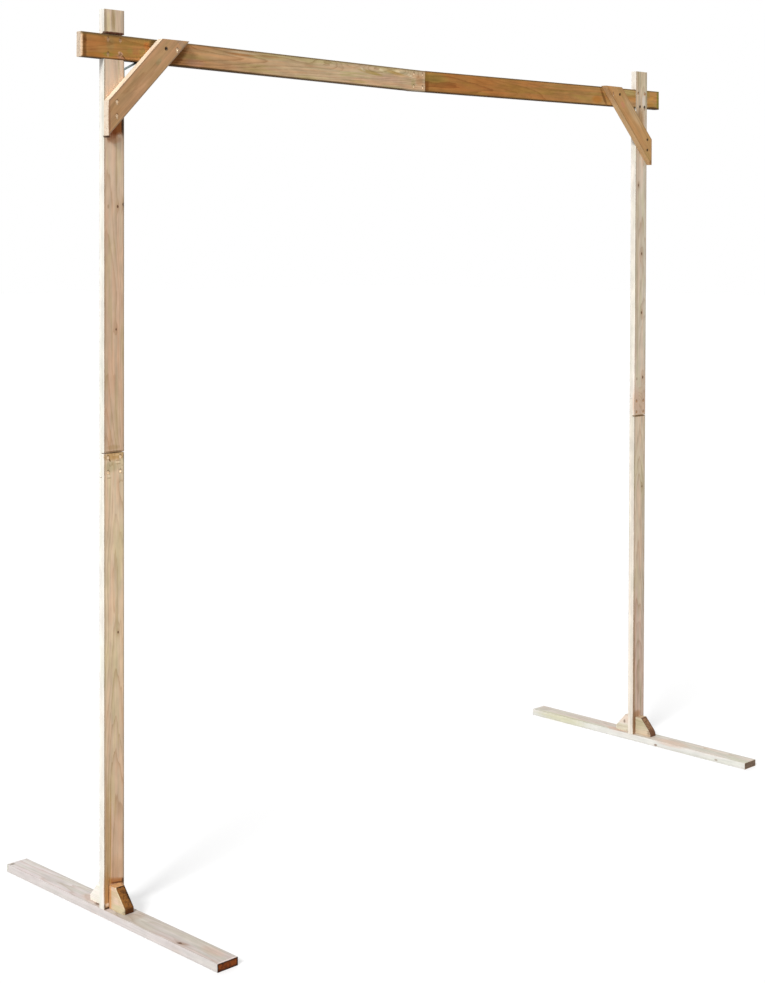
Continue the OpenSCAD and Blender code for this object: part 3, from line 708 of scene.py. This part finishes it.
            (onBeam(1.144, 0.000), (0.006, 0.006, 0.050), (0.23, 0.21, 0.035), 0.85),
            (onBeam(1.112, 0.006), (0.018, 0.006, 0.006), (0.66, 0.33, 0.08), 0.7, -20),
            (onBeam(1.105, -0.014), (0.018, 0.006, 0.008), (0.62, 0.29, 0.065), 0.6),
            # painted shade along the bottom border, in place of the shaded underside
            (onBeam(1.115, -0.0290), (0.040, 0.006, 0.0060), (0.055, 0.020, 0.006), 0.95),
            (onBeam(1.090, 0.018), (0.010, 0.006, 0.010), (0.30, 0.24, 0.06), 0.6),
            (onBeam(0.985, 0.018), (0.040, 0.006, 0.009), (0.44, 0.37, 0.15), 0.7),
        ),
    },
    "left_brace": {
        **brace, "turn": (0, -45, 0), "seed": 9.9, "pith": (0.006, 0.085), "screws": screws["left_brace"],
        "early": (0.55, 0.322, 0.162), "warm": (0.55, 0.30, 0.148), "edge": (0.80, 0.66, 0.50),
        "endEarly": (0.80, 0.68, 0.55), "endLate": (0.64, 0.48, 0.35),
        "tint": 0.5, "borderShade": (0.25, 0.17, 0.11),
        "stainsAndPaintedLight": (
            (onBrace(-0.936, 2.082), (0.010, 0.004, 0.006), (0.38, 0.34, 0.17), 0.5),
            (onBrace(-1.000, 2.000), (0.040, 0.004, 0.012), (0.64, 0.36, 0.19), 0.5),
            (onBrace(-0.950, 2.105), (0.030, 0.004, 0.012), (0.64, 0.35, 0.17), 0.5),
            (onBrace(-1.062, 1.958), (0.014, 0.004, 0.012), (0.60, 0.31, 0.12), 0.6),
            (onBrace(-1.060, 1.925), (0.016, 0.004, 0.014), (0.46, 0.30, 0.12), 0.55),
            (onBrace(-1.045, 1.962), (0.060, 0.004, 0.030), (0.46, 0.265, 0.130), 0.6),
            (onBrace(-1.0828, 1.937), (0.048, 0.004, 0.0028), (0.32, 0.165, 0.085), 0.85, -45),
            (onBrace(-0.870, 2.137), (0.008, 0.004, 0.05), (0.40, 0.29, 0.20), 0.55),
            (onBrace(-0.8765, 2.115), (0.007, 0.004, 0.007), (0.42, 0.29, 0.20), 0.6),
        ),
    },
    "right_brace": {
        **brace, "turn": (0, 45, 0), "seed": 10.3, "pith": (-0.004, 0.090), "screws": screws["right_brace"],
        "early": (0.550, 0.310, 0.124), "warm": (0.540, 0.278, 0.100), "edge": (0.69, 0.44, 0.22),
        "endEarly": (0.50, 0.34, 0.18), "endLate": (0.32, 0.20, 0.10),
        "tint": 0.6, "borderShade": (0.28, 0.14, 0.05), "borderShadeShow": 0.5,
        "stainsAndPaintedLight": (
            (onBrace(0.929, 2.084), (0.012, 0.004, 0.007), (0.66, 0.27, 0.15), 0.7),
            (onBrace(0.860, 2.120), (0.018, 0.004, 0.014), (0.46, 0.23, 0.08), 0.6),
            (onBrace(0.985, 2.060), (0.060, 0.004, 0.014), (0.62, 0.47, 0.28), 0.5),
            (onBrace(1.062, 1.925), (0.022, 0.004, 0.012), (0.50, 0.33, 0.12), 0.6),
            (onBrace(1.080, 1.899), (0.012, 0.006, 0.0060), (0.30, 0.14, 0.05), 0.8, 45),
            (onBrace(1.0845, 1.940), (0.040, 0.006, 0.0022), (0.32, 0.20, 0.09), 0.7, 45),
        ),
    },
    "left_gusset_front": {
        **gusset, "seed": 11.6, "pith": (-0.03, 0.030),
        "early": (0.66, 0.50, 0.36), "warm": (0.68, 0.48, 0.34), "edge": (0.68, 0.38, 0.17),
        # painted highlight on the rim of the slope by the lit face, painted shade on its far rim
        "endEarly": (0.345, 0.140, 0.030), "endLate": (0.045, 0.012, 0.003), "rim": (0.95, 0.80, 0.52),
        "farRimShade": (0.030, 0.010, 0.003), "rimShow": 1.2, "rimWide": 0.0036,
        "stainsAndPaintedLight": (
            ((-1.069, -0.030, 0.078), (0.004, 0.006, 0.004), (0.50, 0.50, 0.42), 0.6),
            ((-1.069, -0.036, 0.028), (0.024, 0.006, 0.010), (0.64, 0.61, 0.39), 0.55),
            # painted shade along the far edge of the slope
            ((-1.041, -0.037, 0.056), (0.034, 0.0058, 0.0055), (0.035, 0.013, 0.005), 0.95, -38),
            ((-1.052, -0.028, 0.064), (0.006, 0.008, 0.004), (0.07, 0.022, 0.005), 0.7, -38),
            ((-1.069, -0.001, 0.050), (0.0045, 0.006, 0.040), (0.62, 0.31, 0.11), 0.85),
            ((-1.069, -0.024, 0.045), (0.010, 0.006, 0.008), (0.80, 0.62, 0.52), 0.5),
            ((-1.052, -0.057, 0.025), (0.012, 0.0155, 0.0115), (0.07, 0.020, 0.004), 0.9),
        ),
    },
    "left_gusset_back": {
        **gusset, "seed": 12.2, "pith": (0.03, 0.030),
        "early": (0.88, 0.86, 0.80), "warm": (0.88, 0.83, 0.76), "tint": 0.4, "edge": (0.76, 0.70, 0.60),
        "endEarly": (0.34, 0.17, 0.07), "endLate": (0.12, 0.05, 0.017),
    },
    "right_gusset_front": {
        **gusset, "seed": 13.4, "pith": (0.02, 0.040),
        "rim": (0.07, 0.025, 0.012), "rimShow": 1.1, "rimWide": 0.0045,
        "early": (0.585, 0.505, 0.37), "warm": (0.605, 0.475, 0.345), "edge": (0.48, 0.35, 0.22),
        "endEarly": (0.34, 0.19, 0.10), "endLate": (0.07, 0.027, 0.011),
        "stainsAndPaintedLight": (
            ((1.055, -0.054, 0.032), (0.012, 0.016, 0.014), (0.12, 0.045, 0.02), 0.75),
        ),
    },
    "right_gusset_back": {
        **gusset, "seed": 14.1, "pith": (-0.02, 0.035),
        "early": (0.70, 0.64, 0.56), "warm": (0.70, 0.60, 0.51), "edge": (0.70, 0.61, 0.52),
        "endEarly": (0.34, 0.20, 0.11), "endLate": (0.13, 0.065, 0.03),
        "stainsAndPaintedLight": (((1.041, 0.0475, 0.0525), (0.004, 0.004, 0.006), (0.22, 0.16, 0.12), 0.85),),
    },
}


def dress(node, finish):  # a piece of the frame gets its material
    slots = nodes[node].data.materials
    slots.clear()
    slots.append(finish)


for node, look in boards.items():
    dress(node, pine(node, look))
print("pine on", len(boards), "boards")


# Zinc plating, dull on the straps, yellowed on the screws, and dark where they are driven deep: partly rust,
# partly painted shade of the deep holes

plainZinc = {
    "metallic": 1.0,
    "spangleScale": 1500.0,
    "cloud": ((90.0, 90.0, 90.0), 3.0, 0.6),  # changes in a metre each way, detail, roughness
    "scratches": ((1400.0, 260.0, 900.0), 2.0, 0.6),
}


def zinc(name, look):
    look = {**plainZinc, **look}
    metal = Shader(bpy.data.materials.new(name))
    place = metal.node("TexCoord", output="Object")
    spangle = metal.node("TexVoronoi", {"feature": "F1"}, {
        "Vector": place, "Scale": look["spangleScale"],
    }, "Color")
    cloud = metal.noise(place, *look["cloud"])
    scratches = metal.noise(place, *look["scratches"])
    tone = metal.blend(metal.node("SeparateXYZ", None, {0: spangle}) * 0.5, look["light"], look["dark"])
    tone = metal.blend(metal.step(cloud, 0.5, 0.75) * 0.5, tone, look["dull"])
    bump = metal.node("Bump", None, {"Height": scratches * 0.6 + cloud, "Strength": 0.35, "Distance": 0.0001})
    return metal.surface({
        "Base Color": tone, "Normal": bump, "Metallic": look["metallic"],
        "Roughness": look["roughness"] + cloud * 0.18 + scratches * 0.08,
    })


strapZinc = zinc("zinc_strap", {
    "light": (0.17, 0.23, 0.23), "dark": (0.08, 0.12, 0.12), "dull": (0.07, 0.09, 0.09),
    "roughness": 0.36, "spangleScale": 700.0,
})
screwZinc = zinc("zinc_screw", {
    "light": (0.92, 0.74, 0.52), "dark": (0.70, 0.52, 0.34), "dull": (0.42, 0.29, 0.17), "roughness": 0.30,
})
wornZinc = zinc("zinc_screw_worn", {
    "light": (0.56, 0.36, 0.20), "dark": (0.36, 0.20, 0.10), "dull": (0.20, 0.10, 0.05), "roughness": 0.42,
})
# painted shade with some rust: the screws' zinc made dark brown for heads deep in their holes
shadedDeepZinc = zinc("zinc_screw_deep_shaded", {
    "light": (0.12, 0.085, 0.060), "dark": (0.075, 0.050, 0.034), "dull": (0.050, 0.030, 0.018),
    "roughness": 0.55, "metallic": 0.7,
})
for side, label in sides:
    dress(label + "_corner_strap", strapZinc)
print("zinc on the straps")


# Screws, each with a cross recess: countersunk in the boards, pan heads on the straps.
# Their sizes are in metres, and sunk is how far the head lies below the face

countersunk = {
    "across": 0.0078, "rim": 0.00025, "deep": 0.0021, "shank": 0.0034, "facets": 32,
    "slotLong": 0.0046, "slotWide": 0.0011, "slotDeep": 0.0014, "slotTaper": 0.55,
    "sunk": 0.0012, "drivenDeep": 0.0040,
    "firstTurn": 23, "nextTurn": 67,  # degrees, so that no two recesses line up
}
panHead = {
    **countersunk, "across": 0.0066, "rim": 0.0017,
    "slotLong": 0.0040, "slotWide": 0.0010, "slotDeep": 0.0012, "sunk": -0.0017,
}


def newObject(name, data):
    made = bpy.data.objects.new(name, data)
    bpy.context.scene.collection.objects.link(made)
    return made


def newPiece(name, mesh):
    data = bpy.data.meshes.new(name)
    mesh.to_mesh(data)
    mesh.free()
    return newObject(name, data)


def fresh(mesh, before):  # what was added to the mesh since
    added = [v for v in mesh.verts if v not in before]
    return added, {e for v in added for e in v.link_edges}, {f for v in added for f in v.link_faces}


def screwHead(mesh, shape, place, outward, spin, finish):
    before = set(mesh.verts)
    bmesh.ops.create_circle(mesh, cap_ends=True, radius=shape["across"] / 2, segments=shape["facets"])
    half, reach = shape["slotWide"] / 2, shape["slotLong"] / 2
    for axis in (Vector((1, 0, 0)), Vector((0, 1, 0))):  # cuts along the borders of the cross
        for cut in (-reach, -half, half, reach):
            added, edges, faces = fresh(mesh, before)
            bmesh.ops.bisect_plane(mesh, geom=[*added, *edges, *faces], plane_co=axis * cut, plane_no=axis)
    added, edges, faces = fresh(mesh, before)
    rim = [e for e in edges if e.is_boundary]

    def inCross(face):
        x, y = (abs(c) for c in face.calc_center_median()[:2])
        return (x < half and y < reach) or (y < half and x < reach)

    cross = [f for f in faces if inCross(f)]
    sunk = bmesh.ops.extrude_face_region(mesh, geom=cross)["geom"]
    bmesh.ops.delete(mesh, geom=[f for f in cross if f.is_valid], context="FACES")
    bottom = [g for g in sunk if isinstance(g, bmesh.types.BMVert)]
    bmesh.ops.translate(mesh, verts=bottom, vec=(0, 0, -shape["slotDeep"]))
    bmesh.ops.scale(mesh, verts=bottom, vec=(shape["slotTaper"], shape["slotTaper"], 1))
    taper = shape["shank"] / shape["across"]
    for drop, narrower in ((shape["rim"], 1), (shape["deep"], taper)):  # side, then underside
        skirt = bmesh.ops.extrude_edge_only(mesh, edges=rim)["geom"]
        ring = [g for g in skirt if isinstance(g, bmesh.types.BMVert)]
        rim = [g for g in skirt if isinstance(g, bmesh.types.BMEdge) and all(v in ring for v in g.verts)]
        bmesh.ops.scale(mesh, verts=ring, vec=(narrower, narrower, 1))
        bmesh.ops.translate(mesh, verts=ring, vec=(0, 0, -drop))
    bmesh.ops.holes_fill(mesh, edges=rim, sides=0)
    added, edges, faces = fresh(mesh, before)
    for f in faces:
        f.material_index = finish
    turn = outward.to_track_quat("Z", "Y").to_matrix().to_4x4() @ Matrix.Rotation(spin, 4, "Z")
    bmesh.ops.transform(mesh, verts=added, matrix=Matrix.Translation(place - outward * shape["sunk"]) @ turn)


def screwGroup(name, shape, places, outward, plating=screwZinc):
    mesh = bmesh.new()
    deepShape = {**shape, "sunk": shape["drivenDeep"]}
    for number, (place, deep) in enumerate(places):
        spin = math.radians(shape["firstTurn"] + shape["nextTurn"] * number)
        screwHead(mesh, deepShape if deep else shape, Vector(place), Vector(outward), spin, int(deep))
    bmesh.ops.recalc_face_normals(mesh, faces=mesh.faces)
    piece = newPiece(name, mesh)
    piece.data.materials.append(plating)
    if any(deep for place, deep in places):
        piece.data.materials.append(shadedDeepZinc)
    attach(piece, "root")


toFront, toFloor = (0, -1, 0), (0, 0, -1)
for label, places in screws.items():
    plating = wornZinc if "right" in label or "crossing" in label else screwZinc
    screwGroup(label + "_screws", countersunk, places, toFront, plating)
for side, label in sides:
    footX, middle, gap = side * arch["postX"], arch["middle"], screwPlaces["footGap"]
    reach = arch["boardThick"] / 2 + screwPlaces["gussetIn"]
    underFoot = [(footX + way * gap, middle) for way in (-1, 1)]
    underFoot += [(footX, middle + way * reach) for way in (-1, 1)]
    screwGroup(label + "_foot_screws", countersunk, [((x, y, 0), False) for x, y in underFoot], toFloor)
    inner = side * (arch["postX"] - arch["boardWide"] / 2 - screwPlaces["tabThick"])
    tabX = side * (arch["postX"] - screwPlaces["tabOut"])
    belowBeam = onBeam(tabX, -arch["boardWide"] / 2)[2] - screwPlaces["tabThick"]
    tabZ = onBeam(inner, -arch["boardWide"] / 2)[2] - screwPlaces["tabDown"]
    screwGroup(label + "_strap_post_screw", panHead, [((inner, middle, tabZ), False)], (-side, 0, 0))
    screwGroup(label + "_strap_beam_screw", panHead, [((tabX, middle, belowBeam), False)], toFloor)
print("screws set")


# White floor that keeps the arch's soft shadow

studio = {  # the lamps' softness in degrees
    "floorTone": 0.57, "floorGlow": 0.45, "floorDrop": 0.0003, "size": 40, "ambient": 0.46,
    "key": 0.85, "keyFrom": (-0.76, -0.29, 0.58), "keySoft": 16,
    "fill": 0.20, "fillFrom": (0.7, 0.5, 0.5), "fillSoft": 60,
}


def seenDirectly(shader):  # 1 for the camera and in reflections, 0 for the light on the arch
    ray = shader.node("LightPath", output="Is Camera Ray")
    return ray + ray.out("Is Glossy Ray")


floor = Shader(bpy.data.materials.new("white_floor"))
paper = floor.node("BsdfDiffuse", None, {"Color": (*[studio["floorTone"]] * 3, 1)})
glow = floor.node("Emission", None, {
    "Color": (1, 1, 1, 1), "Strength": seenDirectly(floor) * studio["floorGlow"],
})
floor.node("OutputMaterial", None, {"Surface": floor.node("AddShader", None, {0: paper, 1: glow})})
ground = bmesh.new()
bmesh.ops.create_grid(ground, x_segments=1, y_segments=1, size=studio["size"])
bmesh.ops.translate(ground, verts=ground.verts, vec=(0, 0, -studio["floorDrop"]))
floorPiece = newPiece("floor", ground)
floorPiece.data.materials.append(floor.owner)

world = bpy.data.worlds.new("studio")
bpy.context.scene.world = world
sky = Shader(world)
dome = sky.node("Background", None, {
    "Color": (1, 1, 1, 1), "Strength": seenDirectly(sky) * (1 - studio["ambient"]) + studio["ambient"],
})
sky.node("OutputWorld", None, {"Surface": dome})


def sunLamp(name, strength, comesFrom, soft):
    light = bpy.data.lights.new(name, "SUN")
    light.energy = strength * math.pi
    light.angle = math.radians(soft)
    newObject(name, light).rotation_euler = Vector(comesFrom).to_track_quat("Z", "Y").to_euler()


for lamp in ("key", "fill"):
    sunLamp(lamp, studio[lamp], studio[lamp + "From"], studio[lamp + "Soft"])

view = {
    "place": (-3.5072, -3.3928, 1.6475), "lens": 62.62, "sensor": 36, "shiftY": -0.2254,
    "yaw": 44.76, "pitch": -1.02, "roll": 0.16,  # degrees
}
lens = bpy.data.cameras.new("camera")
lens.sensor_width = view["sensor"]
lens.lens = view["lens"]
lens.shift_y = view["shiftY"]
camera = newObject("camera", lens)
yaw = Matrix.Rotation(math.radians(-view["yaw"]), 4, "Z")
pitch = Matrix.Rotation(math.radians(90 + view["pitch"]), 4, "X")
roll = Matrix.Rotation(math.radians(view["roll"]), 4, "Z")
camera.matrix_world = Matrix.Translation(view["place"]) @ yaw @ pitch @ roll
bpy.context.scene.camera = camera
bpy.context.scene.view_settings.view_transform = "Standard"

print("floor, light and camera set")
